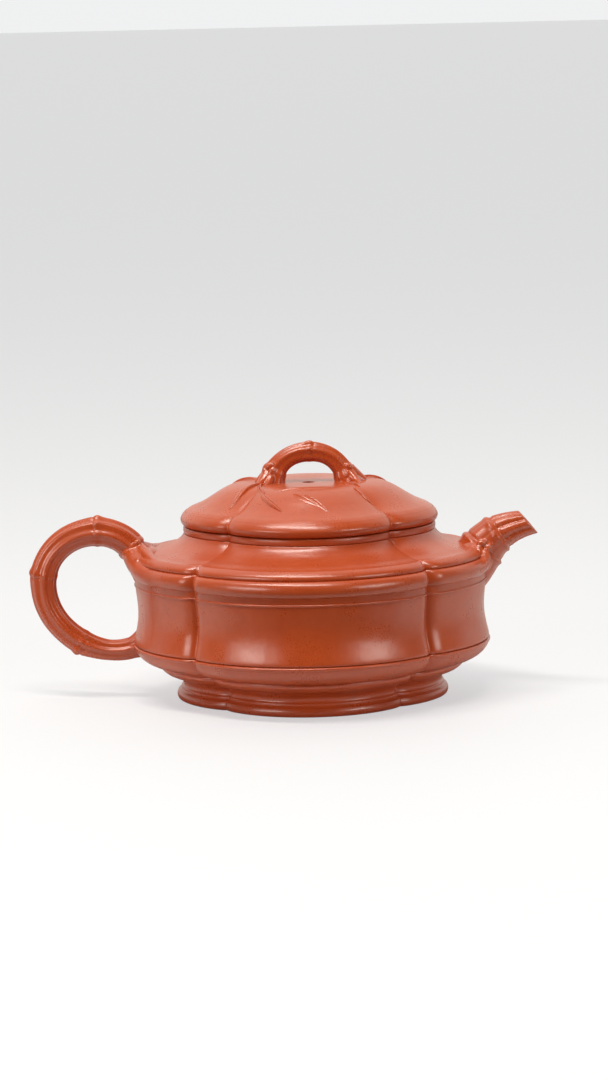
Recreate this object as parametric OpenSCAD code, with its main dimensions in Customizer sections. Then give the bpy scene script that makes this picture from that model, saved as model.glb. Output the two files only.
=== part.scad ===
// Unglazed clay teapot with four round lobes, a bamboo handle and spout, and a lift-off lid
// with a bamboo bridge and leaves. Every piece is one that the potter shapes and lutes on.
// Millimetres, +Z up. Origin under the middle of the foot. +X runs out along the spout.

/* [Pot] */
// Widest radius of the pot, from its axis to the crest of a lobe
pot_r = 60; // [54:0.5:72]
// How far each lobe's own centre stands off the pot's axis
lobe_offset = 11; // [7:0.2:13]
// Height of the foot and its neck
foot_h = 8.2; // [6:0.2:12]
// Radius of the foot at the crest of a lobe
foot_r = 45.7; // [40:0.1:50]
// Height from the foot's top to the lower edge of the wall
under_h = 10.1; // [7:0.1:14]
// Height of the wall, from its lower edge to the beads
wall_h = 23.5; // [18:0.1:34]
// How far the wall draws in at its waist
waist_in = 1.3; // [0:0.1:3]
// Thickness of the clay slabs that the pot is built of
wall_t = 3; // [2.2:0.1:4]
// Height of the band that holds the two beads
bead_band_h = 8; // [6:0.1:11]
// How far the beads stand out of the wall
bead_out = 1.6; // [0.8:0.1:2.4]
// Rise of the shoulder from the beads to the neck
shoulder_h = 6.3; // [4:0.1:10]
// Height of the two raised lines on the wall
line_w = 0.8; // [0.5:0.1:1.4]
// How far the raised lines stand out
line_out = 0.4; // [0.2:0.1:0.8]

/* [Neck and lid] */
// Outside radius of the neck at the crest of a lobe
neck_r = 42.2; // [36:0.1:48]
// Height of the neck band
neck_h = 2.4; // [1.6:0.1:4]
// Thickness of the neck, from the mouth to its outer face
neck_t = 5.4; // [4:0.1:7]
// Gap between the lid and the neck that it rests over
seat_gap = 0.2; // [0.1:0.05:0.4]
// Gap all round between the lid's flange and the mouth
flange_gap = 0.5; // [0.3:0.05:0.9]
// How far the flange reaches down into the mouth
flange_h = 4.2; // [3:0.1:7]
// Thickness of the flange
flange_t = 3; // [2:0.1:4]
// How far the lid's rim stands out past the neck
lid_over = 1; // [0.4:0.1:2]
// Height of the lid's rim
rim_h = 3.3; // [2.4:0.1:5]
// Rise from the rim to the flat of the lid
dome_h = 10.6; // [7:0.1:16]
// Radius of the lid's flat top
flat_r = 21; // [18:0.5:24]
// Radius of the air hole under the bridge
vent_r = 2; // [1:0.1:3]

/* [Bridge and leaves] */
// Distance between the middles of the bridge's two feet
bridge_span = 25; // [20:0.5:30]
// Height of the bridge over the lid's flat top
bridge_h = 13.5; // [11:0.1:18]
// Thickness of the bridge at its crown
bridge_t = 7; // [5:0.1:9]
// Thickness of the leaves
leaf_t = 0.8; // [0.5:0.1:1.2]

/* [Handle] */
// How far the handle's cane reaches out past the wall
handle_out = 30; // [26:0.5:40]
// Thickness of the handle along its upper half
handle_t = 8.8; // [7:0.1:11]
// Thickness of the handle along its lower end
handle_end_t = 6.8; // [5:0.1:9]

/* [Spout] */
// How far the middle of the spout's mouth stands out past the wall
spout_out = 13.6; // [10:0.2:22]
// Height of the middle of the spout's mouth
spout_mouth_z = 57; // [50:0.5:68]
// Thickness of the spout at its root
spout_root_t = 18; // [15:0.2:21]
// Thickness of the spout at its mouth
spout_mouth_t = 8.6; // [7:0.1:11]
// Thickness of the clay round the spout's bore
spout_wall = 2; // [1.4:0.1:2.6]
// Lean of the mouth's cut from upright
mouth_lean = 40; // [20:1:60]
// Radius of the port in the wall behind the spout
port_r = 6; // [4:0.1:7]
// Radius of the holes in the strainer
sieve_hole_r = 1.1; // [0.8:0.1:1.6]

/* [Hidden] */
$fn = 96;
clay = [0.72, 0.33, 0.20];
clay_light = [0.80, 0.42, 0.28];
clay_dark = [0.58, 0.24, 0.14];
cut = 0.5;                              // how far a cutting shape runs past what it cuts

// levels, from the table up
step_z = foot_h;                        // top of the foot's neck
step_top_z = foot_h + 3.9;
low_line_z = foot_h + under_h;          // lower edge of the wall
bead_z = low_line_z + wall_h;           // underside of the beads
edge_z = bead_z + bead_band_h * 0.62;   // top of the wall, where the shoulder lies on it
brow_z = bead_z + bead_band_h;          // top of the beads
high_line_z = bead_z - 2.9;
neck_z = brow_z + shoulder_h;
seat_z = neck_z + neck_h;
lid_z = seat_z + seat_gap;
rim_z = lid_z + rim_h;
brim_z = rim_z + 2.9;
flat_z = rim_z + dome_h;

// radii, from the axis to the crest of a lobe
step_r = foot_r + 5.8;
wall_r = pot_r - 0.3;
face_r = pot_r - 2.4;                   // wall's face behind the beads
mouth_r = neck_r - neck_t;
rim_r = neck_r + lid_over;
flange_r = mouth_r - flange_gap;
floor_r = foot_r - 6.2;
floor_z = 5.2;                          // underside of the floor
floor_top_z = floor_z + wall_t + 1;

// A straight run between two values
function mix(a, b, u) = a + (b - a) * u;

// Radius of the wall at height z: it draws in to a waist between its two edges
function wall_at(z) =
    let (u = (z - low_line_z) / (bead_z - low_line_z))
    mix(wall_r, wall_r - 0.6, u) - waist_in * pow(sin(180 * pow(u, 0.85)), 1.4);

// Height of the lid's upper face at radius r
function lid_at(r) =
    let (u = min(1, max(0, (rim_r - 4.5 - r) / (rim_r - 4.5 - flat_r))))
    brim_z + (flat_z - brim_z) * pow(sin(90 * u), 1.15);

// Points on a bead of round section between two points of the face it is luted to
function bead_pts(a, b, out, n) =
    [for (i = [1:n - 1])
        let (u = i / n, side = [b[1] - a[1], a[0] - b[0]] / norm(b - a))
        a + (b - a) * u + side * out * pow(sin(180 * u), 0.7)];

// A round solid for one lobe, about the lobe's own centre, from a profile of [radius, height]
module lobe(profile) {
    rotate_extrude()
        polygon([for (p = profile) [max(0, p[0] - lobe_offset), p[1]]]);
}

// The four lobes together. The profile runs up the outside, and the inside is solid.
module lobed(profile) {
    bottom = profile[0][1];
    top = profile[len(profile) - 1][1];
    solid = concat([[0, bottom]], profile, [[0, top]]);
    for (k = [0:3])
        rotate(90 * k)
            translate([lobe_offset, 0, 0])
                lobe(solid);
}

// Outer faces, each from its lower to its upper edge
foot_face = [[foot_r - 1, 0], [foot_r - 0.3, 0.5], [foot_r, 1.2], [foot_r, 2],
             [foot_r - 0.4, 2.9], [foot_r - 1.4, 3.6], [foot_r - 1.8, 4.6],
             [foot_r - 1.6, foot_h - 2], [foot_r - 0.7, foot_h - 0.8], [foot_r + 0.4, foot_h]];
under_face = [[foot_r + 0.4, step_z], [foot_r + 0.4, step_top_z], [step_r, step_top_z],
              [mix(step_r, pot_r, 0.34), step_top_z + 0.5],
              [mix(step_r, pot_r, 0.66), mix(step_top_z, low_line_z, 0.26)],
              [mix(step_r, pot_r, 0.88), mix(step_top_z, low_line_z, 0.48)],
              [mix(step_r, pot_r, 0.98), mix(step_top_z, low_line_z, 0.72)],
              [pot_r, low_line_z]];
step_face = [[foot_r + 0.4, step_z], [step_r - 3.2, step_z + 0.6], [step_r - 1.3, step_z + 1.3],
             [step_r - 0.3, step_z + 2.1], [step_r, step_z + 3], [step_r, step_top_z]];
wall_face = concat([for (i = [0:12]) let (z = mix(low_line_z, bead_z, i / 12)) [wall_at(z), z]],
                   [[face_r, bead_z], [face_r, edge_z]]);
brow = [[face_r, edge_z], [face_r, edge_z + 1.2], [face_r - 2.6, brow_z - 0.2]];
shoulder_face = concat(brow, [for (u = [0.2:0.2:1])
    [mix(face_r - 2.6, neck_r, pow(u, 0.75)), mix(brow_z - 0.2, neck_z, pow(u, 1.9))]]);
neck_face = [[neck_r, neck_z], [neck_r + 0.2, neck_z + 0.5], [neck_r + 0.2, seat_z - 0.4],
             [neck_r - 0.2, seat_z]];

// A thin raised line round the pot, from z up to z + line_w, between two radii of the face
function line_face(z, low, high) =
    [[low, z], [low + line_out, z + line_w * 0.25],
     [high + line_out, z + line_w * 0.75], [high, z + line_w]];
low_line_face = line_face(low_line_z - line_w / 2, pot_r - 0.2, wall_r);
high_line_face = line_face(high_line_z, wall_at(high_line_z), wall_at(high_line_z + line_w));

// The hollow of the pot, from the floor to the mouth
waist_low_z = mix(low_line_z, bead_z, 0.3);
waist_high_z = mix(low_line_z, bead_z, 0.7);
hollow_face = [[floor_r, floor_z - cut], [floor_r, floor_top_z],
               [foot_r + 0.4 - wall_t, floor_top_z + 0.4], [step_r - wall_t, step_top_z + 2.6],
               [pot_r - wall_t - 1.6, low_line_z + 1],
               [wall_at(waist_low_z) - wall_t, waist_low_z],
               [wall_at(waist_high_z) - wall_t, waist_high_z],
               [face_r - wall_t, bead_z], [face_r - wall_t, edge_z - 0.6],
               [face_r - wall_t - 4, edge_z + 0.2],
               [mix(mouth_r, face_r, 0.35), brow_z - wall_t + 1.6],
               [mouth_r, neck_z - wall_t], [mouth_r, seat_z + cut]];
module hollow() { lobed(hollow_face); }

// Everything inside the pot's outer face, to trim what is luted on to it
module pot_body() {
    lobed(concat(foot_face, under_face));
    lobed(step_face);
    lobed(wall_face);
    lobed(low_line_face);
    lobed(high_line_face);
    lobed(bead_solid(low_bead_a, low_bead_b));
    lobed(bead_solid(high_bead_a, high_bead_b));
    lobed(shoulder_face);
}

// The two beads sit on the corner between the wall and the shoulder
low_bead_a = [wall_at(bead_z) + 0.1, bead_z];
low_bead_b = [face_r + 1, edge_z];
high_bead_a = [face_r + 1, edge_z];
high_bead_b = [face_r - 2.6, brow_z - 0.2];
function bead_solid(a, b) = concat([a], bead_pts(a, b, bead_out, 10), [b]);

module foot_ring() {
    color(clay_dark)
        difference() {
            lobed(foot_face);
            translate([0, 0, -floor_z - cut])
                lobed([[floor_r, 0], [floor_r, floor_z + foot_h + 2 * cut]]);
        }
}

module base_disc() {
    color(clay_light)
        lobed([[floor_r, floor_z], [floor_r, floor_top_z]]);
}

module under_bowl() {
    color(clay)
        difference() {
            lobed(under_face);
            hollow();
        }
}

module step_moulding() {
    color(clay_light)
        difference() {
            lobed(step_face);
            lobed([[foot_r + 0.4, step_z - cut], [foot_r + 0.4, step_top_z + cut]]);
        }
}

module wall() {
    color(clay)
        difference() {
            lobed(wall_face);
            hollow();
            port();
        }
}

module lower_line() {
    color(clay_light)
        difference() {
            lobed(low_line_face);
            lobed(under_face);
            lobed(wall_face);
        }
}

module upper_line() {
    color(clay_light)
        difference() {
            lobed(high_line_face);
            lobed(wall_face);
        }
}

module lower_bead() {
    color(clay_light)
        difference() {
            lobed(bead_solid(low_bead_a, low_bead_b));
            lobed([[face_r, bead_z - cut], [face_r, edge_z + cut]]);
            port();
        }
}

module upper_bead() {
    color(clay_light)
        difference() {
            lobed(bead_solid(high_bead_a, high_bead_b));
            lobed(concat([[face_r, edge_z - cut]], shoulder_face));
            port();
        }
}

module shoulder() {
    color(clay)
        difference() {
            lobed(shoulder_face);
            hollow();
            port();
        }
}

module neck_ring() {
    color(clay_dark)
        difference() {
            lobed(neck_face);
            lobed([[mouth_r, neck_z - cut], [mouth_r, seat_z + cut]]);
        }
}

// A point and a direction on a smooth curve with two end points and two guide points
function bez(p, t) = pow(1 - t, 3) * p[0] + 3 * pow(1 - t, 2) * t * p[1]
                     + 3 * (1 - t) * t * t * p[2] + pow(t, 3) * p[3];
function bez_way(p, t) =
    let (v = pow(1 - t, 2) * (p[1] - p[0]) + 2 * (1 - t) * t * (p[2] - p[1])
             + t * t * (p[3] - p[2]))
    v / norm(v);

// A swell at the knots of a cane: u is the place along it, knots the places of its knots
function knot(u, knots, width) =
    max([for (k = knots) exp(-pow((u - k) / width, 2))]);

// A cane that runs through stations of [x, z, way x, way z, half height, half depth] in the
// plane y = 0, with shallow ribs along it
module cane(st, ribs, rib_depth, sides) {
    n = len(st);
    pts = [for (s = st) for (k = [0:sides - 1])
        let (a = 360 * k / sides, q = 1 + rib_depth * cos(ribs * a))
        [s[0] - s[3] * s[4] * q * cos(a), s[5] * q * sin(a), s[1] + s[2] * s[4] * q * cos(a)]];
    sides_f = [for (i = [0:n - 2]) for (k = [0:sides - 1])
        let (m = (k + 1) % sides)
        [i * sides + k, i * sides + m, (i + 1) * sides + m, (i + 1) * sides + k]];
    ends_f = [[for (k = [0:sides - 1]) sides - 1 - k],
              [for (k = [0:sides - 1]) (n - 1) * sides + k]];
    polyhedron(points = pts, faces = concat(sides_f, ends_f), convexity = 6);
}

// Handle: an upper arc from the beads to the outermost point, and a lower arc back to the wall
handle_x = -pot_r - handle_out;
handle_z = mix(low_line_z, brow_z, 0.67);
handle_top = [[-pot_r + 3, bead_z - 1], [-pot_r - 0.2, bead_z + 22.9],
              [handle_x, handle_z + 19.5], [handle_x, handle_z]];
handle_low = [[handle_x, handle_z], [handle_x, handle_z - 17.5],
              [-pot_r - 9, low_line_z - 7.1], [-pot_r + 2.4, low_line_z + 0.5]];
top_steps = 22;
low_steps = 18;
function handle_half(u) =
    mix(handle_t, handle_end_t, pow(max(0, (u - 0.6) / 0.4), 0.8)) / 2
    + 0.55 * knot(u, [0.1, 0.27, 0.51, 0.78], 0.018)
    - 0.9 * pow(max(0, 1 - u / 0.1), 1.5)
    + 0.9 * pow(max(0, (u - 0.93) / 0.07), 1.5);
handle_st = concat(
    [for (i = [0:top_steps]) let (t = i / top_steps, u = 0.5 * i / top_steps,
        p = bez(handle_top, t), w = bez_way(handle_top, t), h = handle_half(u))
        [p[0], p[1], w[0], w[1], h, h]],
    [for (i = [1:low_steps]) let (t = i / low_steps, u = 0.5 + 0.5 * i / low_steps,
        p = bez(handle_low, t), w = bez_way(handle_low, t), h = handle_half(u))
        [p[0], p[1], w[0], w[1], h, h]]);

module handle() {
    color(clay_dark)
        difference() {
            cane(handle_st, 8, 0.03, 32);
            pot_body();
        }
}

// Spout: one curve from inside the shoulder's corner to the mouth
spout_curve = [[pot_r - 12, bead_z - 4.3], [pot_r - 1.7, bead_z + 3.4],
               [pot_r - 2.3, spout_mouth_z - 2.5], [pot_r + spout_out, spout_mouth_z]];
spout_steps = 20;
function spout_half(t) =
    mix(spout_root_t, spout_mouth_t, pow(t, 1.6)) / 2 + 0.5 * knot(t, [0.42, 0.66], 0.03);
function spout_way(t) = bez_way(spout_curve, min(t, 1));
function spout_at(t) = t <= 1 ? bez(spout_curve, t)
    : spout_curve[3] + spout_way(1) * (t - 1) * 30;
function spout_st(thin, from, to) = [for (i = [0:spout_steps])
    let (t = mix(from, to, i / spout_steps), p = spout_at(t), w = spout_way(t),
         h = spout_half(min(t, 1)) - thin)
    [p[0], p[1], w[0], w[1], h, h]];
spout_aim = atan2(spout_way(0.25)[1], spout_way(0.25)[0]);
spout_seat = bez(spout_curve, 0.25);

// The round port through the pot's corner, behind the spout
module port() {
    translate([spout_seat[0], 0, spout_seat[1]])
        rotate([0, 90 - spout_aim, 0])
            translate([0, 0, -14])
                cylinder(r = port_r, h = 40);
}

module spout() {
    color(clay_dark)
        difference() {
            cane(spout_st(0, 0.05, 1.25), 8, 0.035, 32);
            cane(spout_st(spout_wall, 0, 1.3), 8, 0, 24);
            pot_body();
            translate([pot_r + spout_out, 0, spout_mouth_z])
                rotate([0, -mouth_lean, 0])
                    translate([0, -15, -15])
                        cube(30);
        }
}

// A side shoot on each side of the spout's root, with a cut stub at its end
twig_foot = bez(spout_curve, 0.42);
twig_tip = bez(spout_curve, 0.62);
module spout_twig() {
    color(clay_light)
        difference() {
            for (s = [-1, 1])
                hull() {
                    translate([twig_foot[0], s * spout_half(0.42) * 0.93, twig_foot[1]])
                        sphere(r = 1.6, $fn = 24);
                    translate([twig_tip[0], s * spout_half(0.62) * 0.98, twig_tip[1] + 1])
                        sphere(r = 1.2, $fn = 24);
                }
            cane(spout_st(0, 0.05, 1.25), 8, 0.035, 32);
            pot_body();
        }
}

// A pierced dome luted over the port from the inside
dome_r = port_r + 3.4;
function dome_arc(r, from, to) =
    [for (i = [0:8]) let (a = mix(from, to, i / 8)) [r * cos(a), -r * sin(a)]];
module strainer() {
    color(clay_light)
        intersection() {
            hollow();
            translate([spout_seat[0], 0, spout_seat[1]])
                rotate([0, 90 - spout_aim, 0])
                    difference() {
                        rotate_extrude()
                            polygon(concat(dome_arc(dome_r, -60, 90), dome_arc(dome_r - 2, 90, -60)));
                        for (k = [0:5])
                            rotate([180 - 32, 0, 60 * k])
                                cylinder(r = sieve_hole_r, h = dome_r + 2);
                        mirror([0, 0, 1])
                            cylinder(r = sieve_hole_r, h = dome_r + 2);
                    }
        }
}

// The lid: its outer face without the rim's overhang, and the hollow under it
lid_face = concat([[rim_r - 1.6, lid_z], [rim_r - 1.6, rim_z], [rim_r - 1.6, rim_z + 1.4]],
                  [for (i = [0:12]) let (r = mix(rim_r - 4, flat_r, i / 12)) [r, lid_at(r)]]);
lid_hollow = [[flange_r - flange_t, lid_z - cut], [flange_r - flange_t, lid_z + 1.4],
              [flange_r - flange_t - 3, rim_z + 2.2],
              [mix(flange_r - flange_t, flat_r, 0.5), mix(rim_z, flat_z, 0.38)],
              [flat_r - 2, flat_z - wall_t - 0.4]];

module lid_top() {
    color(clay)
        difference() {
            lobed(lid_face);
            lobed(lid_hollow);
            translate([0, 0, lid_z])
                cylinder(r = vent_r, h = flat_z - lid_z + cut);
        }
}

module lid_rim() {
    color(clay_light)
        difference() {
            lobed([[rim_r - 1.5, lid_z], [rim_r - 0.7, lid_z + 0.5], [rim_r, lid_z + 1.8],
                   [rim_r, lid_z + 2.5], [rim_r - 0.3, rim_z - 0.1], [rim_r - 0.9, rim_z + 0.8],
                   [rim_r - 1.6, rim_z + 1.4]]);
            lobed([[rim_r - 1.6, lid_z - cut], [rim_r - 1.6, rim_z + 2]]);
        }
}

module lid_flange() {
    color(clay_dark)
        difference() {
            lobed([[flange_r, lid_z - flange_h], [flange_r, lid_z]]);
            lobed([[flange_r - flange_t, lid_z - flange_h - cut], [flange_r - flange_t, lid_z + cut]]);
        }
}

// The bridge: one cane bent over the air hole, with a knot at the crown and one on each side
crown_z = flat_z + bridge_h - bridge_t / 2;
bridge_curve = [[-bridge_span / 2 - 2, flat_z - 2.4], [-bridge_span / 2, flat_z + 4.6],
                [-bridge_span / 4, crown_z], [0, crown_z]];
function bridge_half(u) =
    bridge_t / 2 * (0.92 + 0.4 * pow(abs(2 * u - 1), 4)) + 0.45 * knot(u, [0.22, 0.5, 0.78], 0.03);
bridge_steps = 28;
bridge_st = [for (i = [0:bridge_steps])
    let (u = i / bridge_steps, left = u <= 0.5, t = left ? 2 * u : 2 - 2 * u,
         p = bez(bridge_curve, t), w = bez_way(bridge_curve, t), h = bridge_half(u))
    [left ? p[0] : -p[0], p[1], w[0], left ? w[1] : -w[1], h, h]];

module bridge() {
    color(clay_dark)
        difference() {
            cane(bridge_st, 7, 0.03, 28);
            lobed(lid_face);
        }
}

// Height of the lid's face at any place on it, over its four lobes
function lid_height(x, y) =
    max([for (k = [0:3])
        lid_at(norm([x, y] - lobe_offset * [cos(90 * k), sin(90 * k)]) + lobe_offset)]);

// A pointed leaf pressed on to the lid's face, with a low rib along its middle
leaf_sink = 0.25;                       // how far the leaf is pressed in
module leaf(at, turn, length, width) {
    rows = 10;
    cols = 4;
    side = (rows + 1) * (cols + 1);
    spots = [for (i = [0:rows]) for (k = [0:cols])
        let (u = i / rows, v = 2 * k / cols - 1,
             half = 0.15 + (width / 2 - 0.15) * pow(sin(180 * pow(u, 0.85)), 0.8))
        at + u * length * [cos(turn), sin(turn)] + v * half * [-sin(turn), cos(turn)]];
    under = [for (p = spots) [p[0], p[1], lid_height(p[0], p[1]) - leaf_sink]];
    over = [for (n = [0:side - 1])
        let (p = spots[n], v = 2 * (n % (cols + 1)) / cols - 1)
        [p[0], p[1], lid_height(p[0], p[1]) + leaf_t * (1 - 0.75 * v * v)]];
    cells = [for (i = [0:rows - 1]) for (k = [0:cols - 1]) i * (cols + 1) + k];
    edge = concat([for (k = [0:cols - 1]) k],
                  [for (i = [0:rows - 1]) i * (cols + 1) + cols],
                  [for (k = [cols:-1:1]) rows * (cols + 1) + k],
                  [for (i = [rows:-1:1]) i * (cols + 1)]);
    polyhedron(
        points = concat(under, over),
        faces = concat(
            [for (c = cells) [c, c + 1, c + cols + 2, c + cols + 1]],
            [for (c = cells) [side + c + cols + 1, side + c + cols + 2, side + c + 1, side + c]],
            [for (n = [0:len(edge) - 1])
                let (a = edge[n], b = edge[(n + 1) % len(edge)])
                [a, side + a, side + b, b]]),
        convexity = 4);
}

leaf_in = bridge_span / 2 + 5;          // where the leaves spring from, out of the axis
module leaves_left() {
    color(clay_light) {
        leaf([-leaf_in, -8], 233, 16, 3.6);
        leaf([-leaf_in + 2.4, -9], 275, 14, 1.8);
        leaf([-leaf_in + 3.8, -22.6], 300, 13, 2.8);
    }
}

module leaves_front() {
    color(clay_light) {
        leaf([-5, -26.4], -36, 13.5, 2.8);
        leaf([8.5, -20.2], 186, 19, 3.6);
    }
}

module leaves_right() {
    color(clay_light) {
        leaf([leaf_in - 1.5, -8], -70, 13, 2.8);
        leaf([leaf_in - 0.5, -8], -38, 15, 3.2);
    }
}

module leaves_back() {
    color(clay_light) {
        leaf([-leaf_in + 1, 8], 152, 14, 3.4);
        leaf([leaf_in - 1, 8], 27, 15, 3.4);
    }
}

foot_ring();
base_disc();
under_bowl();
step_moulding();
wall();
lower_line();
upper_line();
lower_bead();
upper_bead();
shoulder();
neck_ring();
spout();
spout_twig();
strainer();
handle();
lid_top();
lid_rim();
lid_flange();
bridge();
leaves_left();
leaves_front();
leaves_right();
leaves_back();
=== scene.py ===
# Unglazed clay teapot with four round lobes, a bamboo handle and spout, and a lift-off lid with a
# bamboo bridge and leaves. The sections follow the pot as it is put together, from the table up.
import math

import bmesh
import bpy
import numpy as np
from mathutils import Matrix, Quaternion, Vector


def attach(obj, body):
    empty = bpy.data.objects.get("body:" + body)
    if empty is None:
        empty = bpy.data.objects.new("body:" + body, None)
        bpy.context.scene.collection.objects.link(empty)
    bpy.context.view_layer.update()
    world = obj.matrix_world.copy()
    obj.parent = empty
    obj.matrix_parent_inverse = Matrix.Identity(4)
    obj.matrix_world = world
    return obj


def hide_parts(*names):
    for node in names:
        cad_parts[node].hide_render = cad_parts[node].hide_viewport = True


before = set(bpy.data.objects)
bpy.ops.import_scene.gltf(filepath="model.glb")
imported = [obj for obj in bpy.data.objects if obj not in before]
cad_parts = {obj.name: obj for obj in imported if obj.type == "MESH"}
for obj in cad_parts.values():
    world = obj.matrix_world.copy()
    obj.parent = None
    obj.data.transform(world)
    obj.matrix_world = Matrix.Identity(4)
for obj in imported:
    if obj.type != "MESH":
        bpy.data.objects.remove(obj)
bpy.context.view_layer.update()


# ------------------------------------------------------------------ table, light and camera
# The pot stands on a plain pale table in a light tent. Four soft, slightly warm panels light it,
# and the side that the camera looks from is darker, as it is at a tent's opening.

def link_object(name, mesh, material):
    obj = bpy.data.objects.new(name, mesh)
    bpy.context.scene.collection.objects.link(obj)
    mesh.materials.append(material)
    return obj


def spread(tree, value, low, high, to_low, to_high):
    """Carries a value from the range low..high over to the range to_low..to_high."""
    node = tree.nodes.new("ShaderNodeMapRange")
    for name, number in (("From Min", low), ("From Max", high), ("To Min", to_low), ("To Max", to_high)):
        node.inputs[name].default_value = number
    tree.links.new(value, node.inputs["Value"])
    return node.outputs["Result"]


def depth_of(tree, place):
    """How far back a place or a direction lies."""
    axes = tree.nodes.new("ShaderNodeSeparateXYZ")
    tree.links.new(tree.nodes.new("ShaderNodeTexCoord").outputs[place], axes.inputs["Vector"])
    return axes.outputs["Y"]


def split_for_camera(tree, unseen, seen, output):
    """Shows one shader to the camera, and lights everything else with the other."""
    which = tree.nodes.new("ShaderNodeLightPath")
    either = tree.nodes.new("ShaderNodeMixShader")
    tree.links.new(which.outputs["Is Camera Ray"], either.inputs["Fac"])
    tree.links.new(unseen, either.inputs[1])
    tree.links.new(seen, either.inputs[2])
    tree.links.new(either.outputs["Shader"], output.inputs["Surface"])


TABLE_HALF = 30.0                   # metres from the middle to each edge
DARK_FROM, DARK_TO = -0.12, -0.07   # the table turns from dark to pale over this stretch of Y

table_mesh = bpy.data.meshes.new("table")
table_form = bmesh.new()
bmesh.ops.create_grid(table_form, x_segments=4, y_segments=4, size=TABLE_HALF)
table_form.to_mesh(table_mesh)
table_form.free()
table_white = bpy.data.materials.new("table_white")
table_white.use_nodes = True
tree = table_white.node_tree
shown = tree.nodes["Principled BSDF"]
for socket, value in (("Base Color", (0.31, 0.31, 0.312, 1)), ("Roughness", 0.7),
                      ("Emission Color", (0.955, 0.975, 1.0, 1)), ("Emission Strength", 0.54)):
    shown.inputs[socket].default_value = value
shaded = tree.nodes.new("ShaderNodeBsdfDiffuse")
tree.links.new(spread(tree, depth_of(tree, "Object"), DARK_FROM, DARK_TO, 0.03, 0.68),
               shaded.inputs["Color"])
split_for_camera(tree, shaded.outputs["BSDF"], shown.outputs["BSDF"], tree.nodes["Material Output"])
table = link_object("table", table_mesh, table_white)

WARM = (1.0, 0.955, 0.89)


def soft_panel(name, place, aim, size, watts):
    light = bpy.data.lights.new(name, "AREA")
    light.shape = "RECTANGLE"
    light.size, light.size_y = size
    light.energy = watts
    light.color = WARM
    obj = bpy.data.objects.new(name, light)
    bpy.context.scene.collection.objects.link(obj)
    obj.location = place
    obj.rotation_euler = (Vector(aim) - Vector(place)).to_track_quat("-Z", "Y").to_euler()


soft_panel("panel_left", (-0.90, -0.78, 0.36), (0, 0, 0.03), (0.60, 0.36), 4.6)
soft_panel("panel_right", (0.90, -0.74, 0.36), (0, 0, 0.03), (0.56, 0.34), 4.0)
soft_panel("panel_top", (-0.22, -0.42, 1.16), (0, 0, 0.05), (1.00, 0.17), 13.8)
soft_panel("panel_over", (-0.12, 0.06, 1.25), (0, 0, 0.06), (0.30, 0.22), 1.6)

tent = bpy.data.worlds.new("tent")
bpy.context.scene.world = tent
tent.use_nodes = True
tree = tent.node_tree
tree.nodes.clear()
tone = tree.nodes.new("ShaderNodeValToRGB")
for at, bright in ((0.25, 0.005), (0.46, 0.06), (0.56, 0.16), (0.70, 0.95)):   # front to back
    stop = tone.color_ramp.elements.new(at)
    stop.color = (bright, bright * 0.96, bright * 0.89, 1)
for end in (0, -1):
    tone.color_ramp.elements.remove(tone.color_ramp.elements[end])
tree.links.new(spread(tree, depth_of(tree, "Generated"), -1, 1, 0, 1), tone.inputs["Fac"])
lit = tree.nodes.new("ShaderNodeBackground")
tree.links.new(tone.outputs["Color"], lit.inputs["Color"])
seen = tree.nodes.new("ShaderNodeBackground")
seen.inputs["Color"].default_value = (0.87, 0.875, 0.88, 1)
split_for_camera(tree, lit.outputs["Background"], seen.outputs["Background"],
                 tree.nodes.new("ShaderNodeOutputWorld"))
bpy.context.scene.view_settings.view_transform = "Standard"

camera_data = bpy.data.cameras.new("camera")
camera_data.sensor_fit = "VERTICAL"
camera_data.sensor_height = 24.0
camera_data.lens = 87.12         # millimetres, a short telephoto
camera_data.clip_start, camera_data.clip_end = 0.05, 60.0
camera = bpy.data.objects.new("camera", camera_data)
bpy.context.scene.collection.objects.link(camera)
aim = Vector((-0.00189, 0.0, 0.05251))
stand_off = 1.3197
rise = math.radians(7.888)
roll = math.radians(-1.29)
camera.location = aim + stand_off * Vector((0, -math.cos(rise), math.sin(rise)))
camera.rotation_mode = "QUATERNION"
camera.rotation_quaternion = ((aim - camera.location).to_track_quat("-Z", "Y")
                              @ Quaternion((0, 0, 1), roll))
bpy.context.scene.camera = camera


# ------------------------------------------------------------------ clay
# Fine orange-red clay, burnished with a horn tool before firing. It has soft pale and deep
# clouds, fine sandy grains and a satin skin with the faint ripples that the tool leaves.

def noise(group, where, scale, detail, rough):
    node = group.nodes.new("ShaderNodeTexNoise")
    node.inputs["Scale"].default_value = scale
    node.inputs["Detail"].default_value = detail
    node.inputs["Roughness"].default_value = rough
    group.links.new(where, node.inputs["Vector"])
    return node.outputs["Fac"]


def blended(group, share, a, b):
    node = group.nodes.new("ShaderNodeMix")
    node.data_type = "RGBA"
    for name, value in (("Factor", share), ("A", a), ("B", b)):
        group.links.new(value, node.inputs[name])
    return node.outputs["Result"]


def counted(group, kind, a, b):
    node = group.nodes.new("ShaderNodeMath")
    node.operation = kind
    group.links.new(a, node.inputs[0])
    group.links.new(b, node.inputs[1])
    return node.outputs["Value"]


def new_group(name, inputs, outputs):
    group = bpy.data.node_groups.new(name, "ShaderNodeTree")
    for label, kind, value in inputs:
        socket = group.interface.new_socket(label, in_out="INPUT", socket_type="NodeSocket" + kind)
        socket.default_value = value
    for label, kind in outputs:
        group.interface.new_socket(label, in_out="OUTPUT", socket_type="NodeSocket" + kind)
    return group, group.nodes.new("NodeGroupInput"), group.nodes.new("NodeGroupOutput")


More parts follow.
